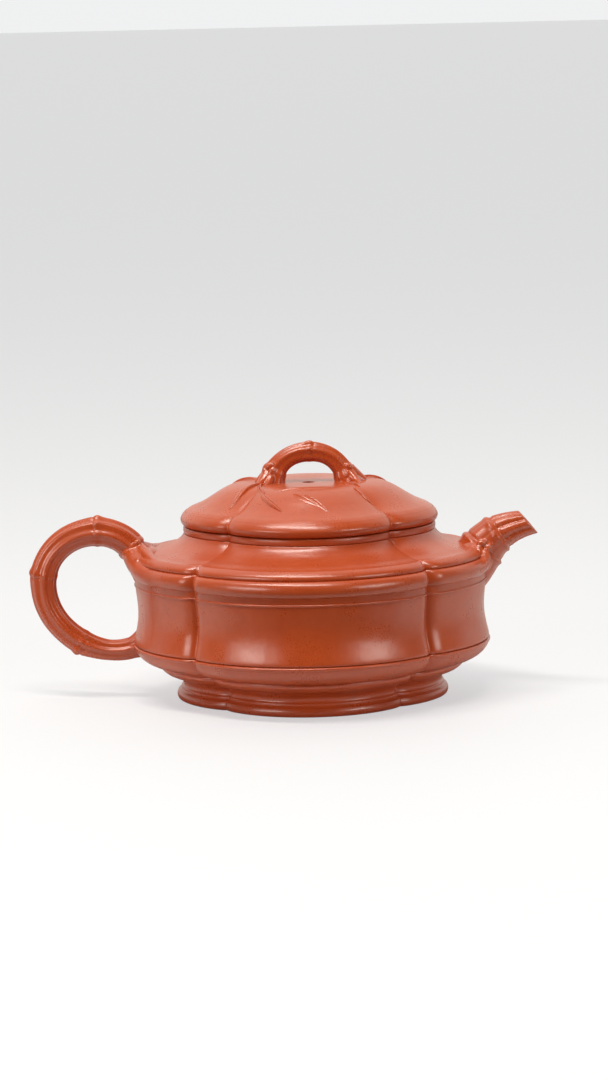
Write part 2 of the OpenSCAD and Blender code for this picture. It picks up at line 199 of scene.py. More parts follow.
tint, tint_in, tint_out = new_group(
    "clay_tint",
    [("Body", "Color", (0.5, 0.1, 0.04, 1)), ("Pale", "Color", (0.6, 0.2, 0.1, 1)),
     ("Deep", "Color", (0.3, 0.05, 0.02, 1)), ("Clouds", "Float", 0.5), ("Grains", "Float", 0.5)],
    [("Colour", "Color")])
where = tint.nodes.new("ShaderNodeTexCoord").outputs["Object"]
body = tint_in.outputs["Body"]
# size, detail and roughness of each mark, the noise that it shows between, and how it colours
for size, detail, rough, low, high, amount, colour in (
        (38, 3, 0.5, 0.40, 0.64, "Clouds", "Pale"), (340, 3, 0.6, 0.44, 0.70, "Clouds", "Deep"),
        (2300, 2, 0.7, 0.62, 0.70, "Grains", "Pale"), (1500, 2, 0.6, 0.66, 0.74, "Grains", "Deep")):
    mark = spread(tint, noise(tint, where, size, detail, rough), low, high, 0, 1)
    body = blended(tint, counted(tint, "MULTIPLY", mark, tint_in.outputs[amount]),
                   body, tint_in.outputs[colour])
tint.links.new(body, tint_out.inputs["Colour"])

skin, skin_in, skin_out = new_group(
    "clay_skin",
    [("Grain", "Float", 0.5), ("Ripple", "Float", 0.5), ("Gloss", "Float", 0.35)],
    [("Height", "Float"), ("Roughness", "Float")])
where = skin.nodes.new("ShaderNodeTexCoord").outputs["Object"]
grain = noise(skin, where, 1500, 4, 0.62)
wrinkle = noise(skin, where, 620, 3, 0.5)
ripple = noise(skin, where, 120, 2, 0.45)
height = counted(skin, "MULTIPLY", counted(skin, "ADD", grain, wrinkle), skin_in.outputs["Grain"])
height = counted(skin, "ADD", height, counted(skin, "MULTIPLY", ripple, skin_in.outputs["Ripple"]))
skin.links.new(height, skin_out.inputs["Height"])
# broad patches and fine flecks are duller or glossier than the rest
patch = spread(skin, noise(skin, where, 90, 3, 0.5), 0.35, 0.65, -0.035, 0.035)
fleck = spread(skin, grain, 0.3, 0.7, -0.03, 0.04)
skin.links.new(counted(skin, "ADD", counted(skin, "ADD", patch, fleck), skin_in.outputs["Gloss"]),
               skin_out.inputs["Roughness"])

MM = 0.001
BODY = (0.44, 0.060, 0.010)
PALE = (0.52, 0.092, 0.024)
DEEP = (0.35, 0.042, 0.007)


def clay(name, body, clouds=0.25, grains=0.16, grain=0.3, ripple=4.0, gloss=0.31):
    """A burnished clay of its own body colour, with the pale and deep marks that all of them share."""
    mat = bpy.data.materials.new(name)
    mat.use_nodes = True
    tree = mat.node_tree
    bsdf = tree.nodes["Principled BSDF"]
    colour = tree.nodes.new("ShaderNodeGroup")
    colour.node_tree = tint
    surface = tree.nodes.new("ShaderNodeGroup")
    surface.node_tree = skin
    bump = tree.nodes.new("ShaderNodeBump")
    for node, socket, value in (
            (colour, "Body", (*body, 1)), (colour, "Pale", (*PALE, 1)), (colour, "Deep", (*DEEP, 1)),
            (colour, "Clouds", clouds), (colour, "Grains", grains),
            (surface, "Grain", grain), (surface, "Ripple", ripple), (surface, "Gloss", gloss),
            (bump, "Strength", 1.0), (bump, "Distance", 0.05 * MM),
            (bsdf, "IOR", 1.52), (bsdf, "Specular IOR Level", 0.78)):
        node.inputs[socket].default_value = value
    tree.links.new(colour.outputs["Colour"], bsdf.inputs["Base Color"])
    tree.links.new(surface.outputs["Roughness"], bsdf.inputs["Roughness"])
    tree.links.new(surface.outputs["Height"], bump.inputs["Height"])
    tree.links.new(bump.outputs["Normal"], bsdf.inputs["Normal"])
    return mat


pot_clay = clay("pot_clay", BODY)
raw_clay = clay("raw_clay", (0.46, 0.11, 0.045), clouds=0.7, grains=0.6, grain=1.2, gloss=0.55)


# ------------------------------------------------------------------ foot
# The low flared foot that carries the pot, a lobed ring trued on the board. It has a round lip at
# the table, a fine fillet over it and a hollow neck where it is luted under the belly.

LOBE = 11.0            # how far each lobe's own centre stands off the axis
FLAT = 21.0            # radius of the lid's flat, inside which the lobes die away
FULL = 38.0            # radius from which the lobes have their whole shape
BROAD = 2.4            # half the width of a groove's soft flanks
FINE = 0.8             # half the width of its sharp bottom

# places round one lobe, closer together towards its grooves
half_way = np.linspace(-1, 1, 73)[:-1]
lobe_turns = np.sign(half_way) * (1 - (1 - np.abs(half_way)) ** 2.0) * math.pi / 4
ring_turns = np.concatenate([lobe_turns + k * math.pi / 2 for k in range(4)])
own_turns = np.concatenate([lobe_turns] * 4)


def reach(r, turn, groove=0.0):
    """How far out a point of crest radius r stands, turn away from the middle of its lobe."""
    wide = np.maximum(r, FLAT)
    a = wide - LOBE
    full = LOBE * np.cos(turn) + np.sqrt(np.maximum(a * a - (LOBE * np.sin(turn)) ** 2, 0))
    share = np.interp(r, [0, 3, FLAT, FULL], [0, 0, 0.38, 1])
    out = r * (1 + share * (full / wide - 1))
    away = out * (math.pi / 4 - np.abs(turn))
    return out - groove * (0.6 * np.exp(-(away / BROAD) ** 2) + 0.4 * np.exp(-(away / FINE) ** 2))


def with_groove(points):
    """The points as (r, z, groove), with no groove where none is given."""
    return [tuple(q) + (0.0,) * (3 - len(q)) for q in points]


def smooth_line(points, per):
    """A smooth line through the points, with per places from each one to the next."""
    p = np.array(points, float)
    ends = np.vstack([2 * p[0] - p[1], p, 2 * p[-1] - p[-2]])
    out = []
    for i in range(1, len(ends) - 2):
        a, b, c, d = ends[i - 1:i + 3]
        for t in np.linspace(0, 1, per, endpoint=False):
            out.append(0.5 * (2 * b + (c - a) * t + (2 * a - 5 * b + 4 * c - d) * t * t
                              + (3 * b - a - 3 * c + d) * t ** 3))
    out.append(ends[-2])
    return np.array(out)


def grooved(points, depth):
    """The points (r, z) as (r, z, groove), all with the same groove."""
    return [(r, z, depth) for r, z in points]


def curve(points, count):
    """Places evenly along a smooth line through the given points, as (r, z, groove)."""
    dense = smooth_line(with_groove(points), 24)
    along = np.concatenate([[0], np.cumsum(np.linalg.norm(np.diff(dense[:, :2], axis=0), axis=1))])
    spots = np.linspace(0, along[-1], count)
    return [tuple(np.interp(s, along, dense[:, k]) for k in range(3)) for s in spots]


ONE_PLACE = 0.02        # points of an outline nearer than this are one
CORNER = math.radians(24)   # turns sharper than this are rounded over


def soften(loop, size):
    """The closed outline with each sharp corner rounded over."""
    kept = []
    for q in (np.array(q, float) for q in with_groove(loop)):
        if not kept or np.linalg.norm(q[:2] - kept[-1][:2]) > ONE_PLACE:
            kept.append(q)
    if np.linalg.norm(kept[0][:2] - kept[-1][:2]) < ONE_PLACE:
        kept.pop()
    out = []
    for i, b in enumerate(kept):
        a, c = kept[i - 1], kept[(i + 1) % len(kept)]
        u, v = a - b, c - b
        lu, lv = np.linalg.norm(u[:2]), np.linalg.norm(v[:2])
        cosine = -float(np.dot(u[:2], v[:2])) / (lu * lv)
        if b[0] > 0 and cosine < math.cos(CORNER):
            s = min(size, 0.45 * lu, 0.45 * lv)
            p, q = b + u / lu * s, b + v / lv * s
            for t in (0, 0.3, 0.7, 1):
                out.append((1 - t) ** 2 * p + 2 * t * (1 - t) * b + t * t * q)
        else:
            out.append(b)
    return np.array(out)


def mesh_of(name, verts, faces):
    mesh = bpy.data.meshes.new(name)
    mesh.from_pydata([tuple(map(float, v)) for v in verts], [], [tuple(map(int, f)) for f in faces])
    mesh.validate()
    form = bmesh.new()
    form.from_mesh(mesh)
    bmesh.ops.recalc_face_normals(form, faces=form.faces)
    form.to_mesh(mesh)
    form.free()
    return mesh


def finish_piece(name, verts, faces, material, node, body, slot, sharp=50):
    mesh = mesh_of(name, verts, faces)
    mesh.shade_smooth()
    mesh.set_sharp_from_angle(angle=math.radians(sharp))
    piece = link_object(name, mesh, material)
    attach(piece, body)
    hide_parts(node)


def lobed_ring(name, loop, material, node, body, slot, corner=0.25):
    """A closed piece with four lobes from its outline (r, z, groove), listed up the outside."""
    line = soften(loop, corner)
    verts, faces, rows = [], [], []
    for r, z, groove in line:
        if r <= 1e-6:
            rows.append(np.full(len(ring_turns), len(verts)))
            verts.append((0.0, 0.0, z * MM))
            continue
        out = reach(r, own_turns, groove) * MM
        rows.append(np.arange(len(ring_turns)) + len(verts))
        verts.extend(zip(out * np.cos(ring_turns), out * np.sin(ring_turns),
                         np.full(len(ring_turns), z * MM)))
    n = len(ring_turns)
    for i in range(len(rows)):
        low, high = rows[i], rows[(i + 1) % len(rows)]
        for k in range(n):
            m = (k + 1) % n
            ids = [low[k], low[m], high[m], high[k]]
            face = [v for j, v in enumerate(ids) if v != ids[j - 1]]
            if len(face) > 2:
                faces.append(face)
    finish_piece(name, verts, faces, material, node, body, slot)


foot = curve([(44.9, 0.05), (45.45, 0.35), (45.75, 1.1), (45.75, 2.0), (45.45, 2.75)], 10)
foot += curve([(45.4, 2.85, 0.4), (44.7, 3.35, 0.5), (44.35, 3.75, 0.6)], 5)
foot += curve([(44.3, 3.85, 0.6), (44.35, 4.2, 0.6), (44.15, 4.55, 0.6)], 5)
foot += curve([(43.85, 4.8, 0.7), (43.75, 5.4, 0.8), (44.1, 6.6, 0.9), (46.1, 8.2, 1.0)], 12)
foot += [(40.0, 8.2), (39.6, 6.5), (39.6, 1.5), (40.4, 0.35), (41.5, 0.05)]
foot = [(r, z, max(g, 0.5 if r > 43 else 0)) for r, z, g in with_groove(foot)]
lobed_ring("foot", foot, pot_clay, "foot_ring", "pot", "pot_clay")

# ------------------------------------------------------------------ bottom
# The pot's floor, a slab of clay cut to four lobes and luted inside the foot. It is left a little
# rough underneath, where no burnishing tool reaches.

floor = [(0, 5.45), (20, 5.4), (34, 5.3), (39.4, 5.2), (39.4, 9.15), (34, 9.1), (20, 9.0), (0, 8.95)]
lobed_ring("floor", floor, raw_clay, "base_disc", "pot", "pot_clay", 0.4)

# ------------------------------------------------------------------ belly and its step
# The slope from the foot out to the wall, with a round moulding in the corner under it. Both are
# beaten from slabs, luted with slip and burnished as one.

step = curve(grooved([(46.3, 8.25), (48.0, 8.7), (49.5, 9.3), (50.3, 9.9)], 1.0), 10)
step += curve(grooved([(50.5, 10.05), (51.1, 10.7), (51.25, 11.4), (51.0, 12.1)], 1.0), 9)
step += [(46.4, 12.1, 0.5)]
lobed_ring("step", step, pot_clay, "step_moulding", "pot", "pot_clay", 0.15)

belly = [(46.3, 8.2), (46.3, 12.15, 0.8), (51.0, 12.15, 1.0)]
belly += curve([(51.3, 12.15, 1.0), (53.8, 12.5, 1.0), (56.4, 13.6, 1.1), (58.4, 15.2, 1.2),
                (59.5, 16.8, 1.2), (59.85, 17.9, 1.2)], 22)
belly += [(59.8, 18.3, 1.2), (54.6, 18.3)]
belly += curve([(54.2, 17.9), (52.0, 16.4), (48.5, 14.4), (43.4, 9.8), (40.0, 9.2)], 12)
belly += [(39.6, 8.2)]
lobed_ring("belly", belly, pot_clay, "under_bowl", "pot", "pot_clay", 0.15)

# ------------------------------------------------------------------ wall
# The upright slab wall, waisted between a fine ridge at its foot and another under the beads. It
# is pressed into four lobes over a form, with a groove between each two.

WALL_GROOVE = 1.7
wall = grooved([(58.9, 18.35), (58.95, 18.95)], WALL_GROOVE)
wall += curve(grooved([(59.65, 19.15), (59.85, 19.7), (59.6, 21.2), (58.95, 24), (58.45, 27),
                       (58.3, 30), (58.45, 33), (58.85, 36.5), (59.05, 38.8), (59.15, 41.8)],
                      WALL_GROOVE), 44)
wall += grooved([(57.6, 41.9), (57.6, 46.8)], WALL_GROOVE) + [(50.7, 46.8)]
wall += curve([(54.6, 46.1), (54.7, 41.5), (55.6, 34.0), (55.4, 25.0), (55.4, 19.5)], 12)
wall += [(55.0, 18.45)]
lobed_ring("wall", wall, pot_clay, "wall", "pot", "pot_clay", 0.12)

hairline = curve(grooved([(59.6, 17.6), (60.05, 17.85), (60.25, 18.3), (60.1, 18.75)], 1.6)
                 + [(59.5, 18.95, WALL_GROOVE)], 9)
lobed_ring("hairline", hairline + [(59.0, 18.2, 1.6)], pot_clay, "lower_line", "pot",
           "pot_clay", 0.05)

fine_line = curve(grooved([(58.95, 38.6), (59.3, 38.75), (59.42, 39.05), (59.3, 39.35),
                           (58.95, 39.5)], WALL_GROOVE), 9)
lobed_ring("fine_line", fine_line + [(58.8, 39.05, WALL_GROOVE)], pot_clay, "upper_line", "pot",
           "pot_clay", 0.05)

# ------------------------------------------------------------------ beads
# Two round beads laid on the corner between the wall and the shoulder. They swell in the middle
# of each lobe's run and are pinched in at the grooves.

low_bead = curve([(58.7, 41.45, 1.8), (59.5, 41.65, 2.2), (60.15, 42.4, 2.5), (60.5, 43.6, 2.6),
                  (60.4, 44.9, 2.6), (59.9, 46.0, 2.5), (59.1, 46.7, 2.2), (58.2, 46.9, 1.9)], 34)
lobed_ring("low_bead", low_bead + [(56.8, 46.9, 1.5), (57.2, 41.7, 1.5)], pot_clay, "lower_bead",
           "pot", "pot_clay", 0.1)
high_bead = curve([(58.1, 46.85, 1.9), (58.45, 47.25, 2.0), (58.4, 48.0, 2.2), (57.95, 48.75, 2.3),
                   (57.1, 49.4, 2.2), (56.1, 49.85, 2.0), (55.0, 49.95, 1.6), (54.4, 49.75, 1.3)], 30)
lobed_ring("high_bead", high_bead + [(54.2, 49.2, 1.3), (56.6, 46.8, 1.5)], pot_clay,
           "upper_bead", "pot", "pot_clay", 0.1)

# ------------------------------------------------------------------ shoulder and neck
# The hollow-curved shoulder is one slab pressed to shape, luted over the wall. The neck is a
# plain band on it, and its top is ground flat for the lid.

shoulder = curve([(55.3, 49.75, 1.2), (53.6, 50.05, 1.0), (51.5, 50.7, 0.9), (49.0, 51.4, 0.8),
                  (46.5, 52.35, 0.8), (44.5, 53.5, 0.8), (43.0, 54.9, 0.8), (42.25, 56.1, 0.8)], 34)
shoulder += [(36.9, 56.1), (36.9, 53.4)]
shoulder += curve([(40.0, 51.2), (44.0, 48.6), (49.0, 47.1), (53.0, 46.9)], 10)
shoulder += [(57.4, 46.85, 1.2), (57.4, 48.0, 1.2)]
lobed_ring("shoulder", shoulder, pot_clay, "shoulder", "pot", "pot_clay", 0.15)

neck = [(42.0, 56.1, 0.8), (42.35, 56.35, 0.8), (42.45, 57.2, 0.8), (42.35, 58.2, 0.8),
        (42.0, 58.48, 0.8), (37.2, 58.5), (36.8, 58.1), (36.8, 56.1)]
lobed_ring("neck", neck, pot_clay, "neck_ring", "pot", "pot_clay", 0.2)

# ------------------------------------------------------------------ lid
# The lid is a domed slab on a rolled rim, with a deep flange below that keeps it in the mouth. An
# air hole is pierced through the flat under the bridge.

lid_clay = clay("lid_clay", (0.46, 0.067, 0.013), ripple=4.5)

rim = [(41.5, 58.72, 0.8), (42.0, 58.75, 0.8)]
rim += curve([(42.3, 58.85, 0.8), (42.9, 59.4, 0.9), (43.2, 60.2, 0.9), (43.25, 61.0, 0.9),
              (43.05, 61.55, 0.9)], 14)
rim += curve([(43.0, 61.65, 0.9), (42.75, 62.1, 0.9), (42.3, 62.7, 0.9), (41.6, 63.4, 0.9)], 10)
lobed_ring("lid_rim", rim, lid_clay, "lid_rim", "lid", "lid_clay", 0.15)

DOME = [(41.6, 63.35), (40.2, 64.3), (38.5, 65.0), (36.0, 66.15), (33.5, 67.6), (31.0, 69.2),
        (28.5, 70.65), (26.0, 71.7), (23.5, 72.3), (21.0, 72.55), (16.0, 72.5), (10.0, 72.3),
        (5.0, 72.2), (2.3, 72.15)]
dome_line = curve([(r, z, 0.9 * min(1, max(0, (r - 22) / 14))) for r, z in DOME], 84)
lid = [(41.55, 58.75, 0.8)] + dome_line + [(2.0, 71.9), (2.0, 69.2), (2.4, 68.8)]
lid += curve([(4.0, 68.85), (19.0, 68.9), (26.0, 67.0), (31.0, 63.8), (33.2, 60.2)], 24)
lid += [(33.3, 58.75)]
lobed_ring("lid", lid, lid_clay, "lid_top", "lid", "lid_clay", 0.25)

flange = [(36.25, 58.72), (36.25, 55.0), (35.9, 54.55), (33.7, 54.55), (33.35, 55.0), (33.3, 58.72)]
lobed_ring("lid_flange", flange, raw_clay, "lid_flange", "lid", "lid_clay", 0.3)

dome_r, dome_z, dome_g = np.array(dome_line[::-1]).T
PAST_RIM = 46.0        # a radius that no place on the lid is beyond


def lid_height(x, y):
    """Height of the lid's face over a place on it, in millimetres."""
    far = np.hypot(x, y)
    turn = (np.degrees(np.arctan2(y, x)) + 45) % 90 - 45
    low, high = np.full_like(far, 0.1), np.full_like(far, PAST_RIM)
    for _ in range(24):     # halves the span each time
        mid = (low + high) / 2
        short = reach(mid, np.radians(turn), np.interp(mid, dome_r, dome_g)) < far
        low, high = np.where(short, mid, low), np.where(short, high, mid)
    return np.interp(low, dome_r, dome_z)


# ------------------------------------------------------------------ handle
# A length of bamboo bent round to the wall, rolled from one coil of clay and cut with a bamboo
# knife. It has raised joints along it, and forks into the two beads where it meets the shoulder.

handle_clay = clay("handle_clay", BODY, ripple=3.0, gloss=0.29)


def bezier(points, count, skip=0):
    p = np.array(points, float)
    t = np.linspace(0, 1, count)[skip:, None]
    return (1 - t) ** 3 * p[0] + 3 * (1 - t) ** 2 * t * p[1] + 3 * (1 - t) * t * t * p[2] + t ** 3 * p[3]


def even(points, step, tight, tight_step, width):
    """The line resampled every step, or every tight_step within width of the lengths in tight."""
    p = np.array(points, float)
    along = np.concatenate([[0], np.cumsum(np.linalg.norm(np.diff(p, axis=0), axis=1))])
    spots, s = [0.0], 0.0
    while s < along[-1]:
        near = any(abs(s - k) < width for k in tight)
        s += tight_step if near else step
        spots.append(min(s, along[-1]))
    spots = np.array(spots)
    return np.stack([np.interp(spots, along, p[:, k]) for k in range(3)], 1), spots


def tube_parts(line, half, sides, shape=None, side_way=(0.0, 1.0, 0.0)):
    """Vertices and faces of a closed round bar along a line of points in millimetres."""
    way = np.gradient(line, axis=0)
    way /= np.linalg.norm(way, axis=1)[:, None]
    turns = np.linspace(0, 2 * math.pi, sides, endpoint=False)
    side = side_way - way * np.sum(side_way * way, axis=1)[:, None]
    side /= np.linalg.norm(side, axis=1)[:, None]
    up = np.cross(side, way)
    verts = []
    for i, p in enumerate(line):
        h = half[i] if shape is None else half[i] + shape(i, turns)
        h = np.broadcast_to(h, turns.shape)[:, None]
        verts.append(p + up[i] * np.cos(turns)[:, None] * h + side[i] * np.sin(turns)[:, None] * h)
    verts = list(np.concatenate(verts)) + [line[0], line[-1]]
    n = len(line)
    last = (n - 1) * sides
    faces = [(i + k, i + (k + 1) % sides, i + sides + (k + 1) % sides, i + sides + k)
             for i in range(0, last, sides) for k in range(sides)]
    faces += [(n * sides, (k + 1) % sides, k) for k in range(sides)]
    faces += [(n * sides + 1, last + k, last + (k + 1) % sides) for k in range(sides)]
    return verts, faces


def joints(along, places, swell, cut=0.22):
    """Raised bamboo joints: a long pointed swell at each place, with a ridge and a fine cut."""
    out = np.zeros_like(along)
    for s, share in places:
        away = along - s
        out += swell * share * (0.5 * np.exp(-(away / 3.2) ** 2) + 0.5 * np.exp(-(away / 1.0) ** 2))
        out -= cut * share * np.exp(-((away - 1.15) / 0.35) ** 2)
        out -= 0.6 * cut * share * np.exp(-((away + 1.9) / 0.6) ** 2)
    return out


upper = bezier([(-56, 0, 43), (-60.2, 0, 64.7), (-90, 0, 59), (-90, 0, 39.5)], 160)
lower = bezier([(-90, 0, 39.5), (-90, 0, 22), (-69, 0, 11.2), (-56.6, 0, 19.0)], 140, 1)
handle_path = np.vstack([upper[28:], lower])
knuckles = [(12.4, 1.0), (37.6, 0.85), (65.5, 1.15)]
handle_line, s = even(handle_path, 1.0, [k for k, _ in knuckles], 0.25, 2.4)
handle_half = np.interp(s / s[-1], [0, 0.15, 0.45, 0.72, 0.86, 0.95, 1.0],
                        [4.75, 4.65, 4.15, 4.0, 3.3, 3.5, 4.6])
handle_joints = joints(s, knuckles, 0.72)
knuckle_lines = sum(np.exp(-(np.abs(s - k) / 1.5) ** 2) for k, _ in knuckles)


def handle_shape(i, turns):
    ribs = 0.24 * np.cos(8 * turns + 0.5) - 0.14 * np.abs(np.sin(4 * turns + 0.25))
    fine = 0.07 * np.cos(22 * turns) * knuckle_lines[i]
    raised = handle_joints[i] * (0.58 + 0.42 * np.cos(turns))
    return ribs * (1 + 0.5 * knuckle_lines[i]) + fine + raised


verts, faces = tube_parts(handle_line, handle_half, 64, shape=handle_shape)
finish_piece("handle", [v * MM for v in verts], faces, handle_clay, "handle", "pot", "handle_clay")


def wall_point(turn, r, z):
    """A point on a ring of crest radius r at height z, turn degrees round from the spout."""
    own = (turn + 45) % 90 - 45
    out = float(reach(r, math.radians(own)))
    return np.array([out * math.cos(math.radians(turn)), out * math.sin(math.radians(turn)), z])


def limb(points, halves):
    """A tapered branch through points, with its thickness given at each of them."""
    line = smooth_line(points, 48 // (len(points) - 1))
    spots = np.linspace(0, 1, len(line))
    half = np.interp(spots, np.linspace(0, 1, len(halves)), halves)
    return tube_parts(line, half, 28, side_way=(0.3, 0.35, 0.9))


def bud(place, half, way, long):
    """A small pointed swelling of clay, such as a bud or the stub of a cut twig."""
    place, way = np.array(place, float), np.array(way, float) / np.linalg.norm(way)
    t = np.linspace(-1, 1, 15)
    line = place + way * half * long * t[:, None]
    halves = half * np.sqrt(np.maximum(1 - t ** 2, 0.002)) * (1 - 0.22 * t)
    return tube_parts(line, halves, 20, side_way=(0.21, 0.93, 0.31))


def joined(parts):
    """All the parts' vertices, in metres, and all their faces."""
    verts, faces = [], []
    for v, f in parts:
        faces += [tuple(i + len(verts) for i in face) for face in f]
        verts += [tuple(np.asarray(p, float) * MM) for p in v]
    return verts, faces


def worked_clay(name, parts, fineness, material, nodes, body, smooth):
    """One piece of clay from many overlapping lumps, with their seams smoothed over."""
    mesh = mesh_of(name + "_lumps", *joined(parts))
    lumps = bpy.data.objects.new(name + "_lumps", mesh)
    bpy.context.scene.collection.objects.link(lumps)
    remesh = lumps.modifiers.new("skin", "REMESH")
    remesh.mode = "VOXEL"
    remesh.voxel_size = fineness * MM
    smoothing = lumps.modifiers.new("thumb", "SMOOTH")
    smoothing.factor = 0.5
    smoothing.iterations = smooth
    made = bpy.data.meshes.new_from_object(lumps.evaluated_get(bpy.context.evaluated_depsgraph_get()))
    bpy.data.objects.remove(lumps)
    made.name = name
    made.materials.clear()
    made.shade_smooth()
    piece = link_object(name, made, material)
    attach(piece, body)
    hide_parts(*nodes)


def round_wall(start, flip, steps):
    """Points on the wall at each (turn, r, z) in steps, with turn counted from start."""
    return [wall_point(abs(start - turn), r, z) * (1, flip, 1) for turn, r, z in steps]


root = []
for flip in (-1, 1):
    low_run = round_wall(180, flip, [(22, 57.6, 44.2), (29, 57.6, 44.1), (36, 57.4, 44.1),
                                     (42.5, 57.0, 44.2)])
    root.append(limb([(-59.6, flip * 1.6, 49.4), (-58.6, flip * 6.0, 47.4), (-57.6, flip * 9.6, 45.9),
                      (-55.9, flip * 14.4, 44.8), *low_run],
                     [3.7, 3.5, 3.2, 3.0, 2.85, 2.75, 2.6, 1.9]))
    high_run = round_wall(180, flip, [(21, 55.6, 48.2), (28, 55.6, 47.9), (35, 55.6, 47.8),
                                      (42, 55.3, 47.8)])
    root.append(limb([(-57.4, flip * 2.6, 50.8), (-55.4, flip * 6.4, 50.0), (-53.5, flip * 11.6, 49.1),
                      *high_run],
                     [2.4, 2.2, 1.9, 1.8, 1.75, 1.7, 1.2]))
    root.append(limb([(-59.0, flip * 3.4, 47.4), (-57.9, flip * 5.0, 43.6), (-57.2, flip * 5.6, 40.2)],
                     [3.0, 2.4, 1.4]))
    for place, half, way in (((-54.4, flip * 9.4, 49.8), 1.35, (0.7, flip * 0.3, -0.6)),
                             ((-56.9, flip * 10.8, 47.3), 1.7, (0.7, flip * -0.4, -0.5)),
                             ((-58.9, flip * 8.2, 47.9), 1.4, (-0.4, flip * 0.5, -0.7)),
                             ((-58.0, flip * 5.4, 50.2), 1.3, (-0.7, 0, 0.7)),
                             ((-57.6, flip * 3.8, 53.2), 1.1, (0.7, 0, -0.7)),
                             ((-61.4, flip * 4.4, 50.2), 1.2, (0.5, 0, 0.8))):
        root.append(bud(place, half, way, 1.4))
root.append(bud((-56.2, 0, 46.8), 4.4, (0, 1, 0), 2.7))
root.append(bud((-53.4, 0, 48.6), 2.9, (0, 1, 0), 3.4))
root.append(limb([(-59.2, 0, 50.6), (-56.2, 0, 49.9), (-53.0, 0, 48.9)], [4.2, 3.0, 2.0]))
root.append(limb([(-59.3, 0, 48.0), (-58.3, 0, 44.0), (-57.4, 0, 40.6), (-57.2, 0, 38.0)],
                 [3.2, 2.7, 2.2, 1.3]))
ring_way = np.array([0.66, 0, -0.75])
ring_mid = np.array([-60.1, 0, 51.4])
t = np.linspace(-1, 1, 13)
root.append(tube_parts(ring_mid + ring_way * 1.3 * t[:, None],
                       4.55 + 0.6 * np.sqrt(1 - t ** 2 * 0.98), 48))
worked_clay("handle_root", root, 0.32, handle_clay, ("handle",), "pot", 5)

# ------------------------------------------------------------------ spout
# A cut length of ribbed bamboo between two joints, hollow to its slanting mouth. Its root is
# wrapped by the ends of the beads and by the buds of a twig.

spout_clay = clay("spout_clay", (0.45, 0.064, 0.012), ripple=3.0, gloss=0.29)

spout_path = bezier([(48, 0, 37.5), (58.3, 0, 45.2), (57.7, 0, 54.5), (73.7, 0, 57)], 240)
SPOUT_WALL = 2.3
MOUTH_LEAN = math.radians(40)
UPRIGHT = 0.45         # how far along the spout its rings begin to lean over to the mouth's slant


def pipe_parts(line, half, bore, sides, shape, lean):
    """A hollow bar: outer wall, mouth, and bore, all one closed skin. Its far end is cut aslant."""
    outer, _ = tube_parts(line, half, sides, shape=shape)
    inner, _ = tube_parts(line, bore, sides)
    n = len(line)
    outer, inner = np.array(outer[:n * sides]), np.array(inner[:n * sides])
    normal = np.array([math.cos(lean), 0, math.sin(lean)])
    way = np.gradient(line, axis=0)
    way /= np.linalg.norm(way, axis=1)[:, None]
    for i in range(n):
        pull = max(0.0, (i / (n - 1) - UPRIGHT) / (1 - UPRIGHT)) ** 1.3
        for ring in (outer, inner):
            rows = ring[i * sides:(i + 1) * sides]
            off = (rows - line[i]) @ normal / (way[i] @ normal)
            rows -= pull * off[:, None] * way[i]
    verts = np.vstack([outer, inner])
    m = n * sides
    faces = []
    for i in range(n - 1):
        for k in range(sides):
            a, b = i * sides + k, i * sides + (k + 1) % sides
            faces.append((a, b, b + sides, a + sides))
            faces.append((m + a, m + a + sides, m + b + sides, m + b))
    for k in range(sides):
        a, b = k, (k + 1) % sides
        faces.append((a, m + a, m + b, b))
        a, b = a + (n - 1) * sides, b + (n - 1) * sides
        faces.append((a, b, m + b, m + a))
    return list(verts), faces


share = np.linspace(0.14, 1.0, 170)
path_share = np.linspace(0, 1, len(spout_path))
spout_line = np.stack([np.interp(share, path_share, spout_path[:, k]) for k in range(3)], 1)
spout_half = 9.0 + (4.3 - 9.0) * share ** 1.6
for at, swell, wide in ((0.70, 0.40, 0.028), (0.465, 0.40, 0.03)):
    spout_half += swell * np.exp(-(np.abs(share - at) / wide) ** 1.6)
    spout_half += 0.3 * np.exp(-np.abs(share - at) / 0.06)
    spout_half -= 0.45 * np.exp(-((share - at - 0.04) / 0.016) ** 2)
spout_ribs = np.interp(share, [0.14, 0.5, 0.69, 0.73, 0.80, 0.96, 1.0],
                       [0.1, 0.2, 0.25, 0.6, 1.1, 0.8, 0.5])


def spout_shape(i, turns):
    ridge = 1 - np.abs(np.cos(4 * turns)) ** 0.6
    return -0.95 * ridge * spout_ribs[i]


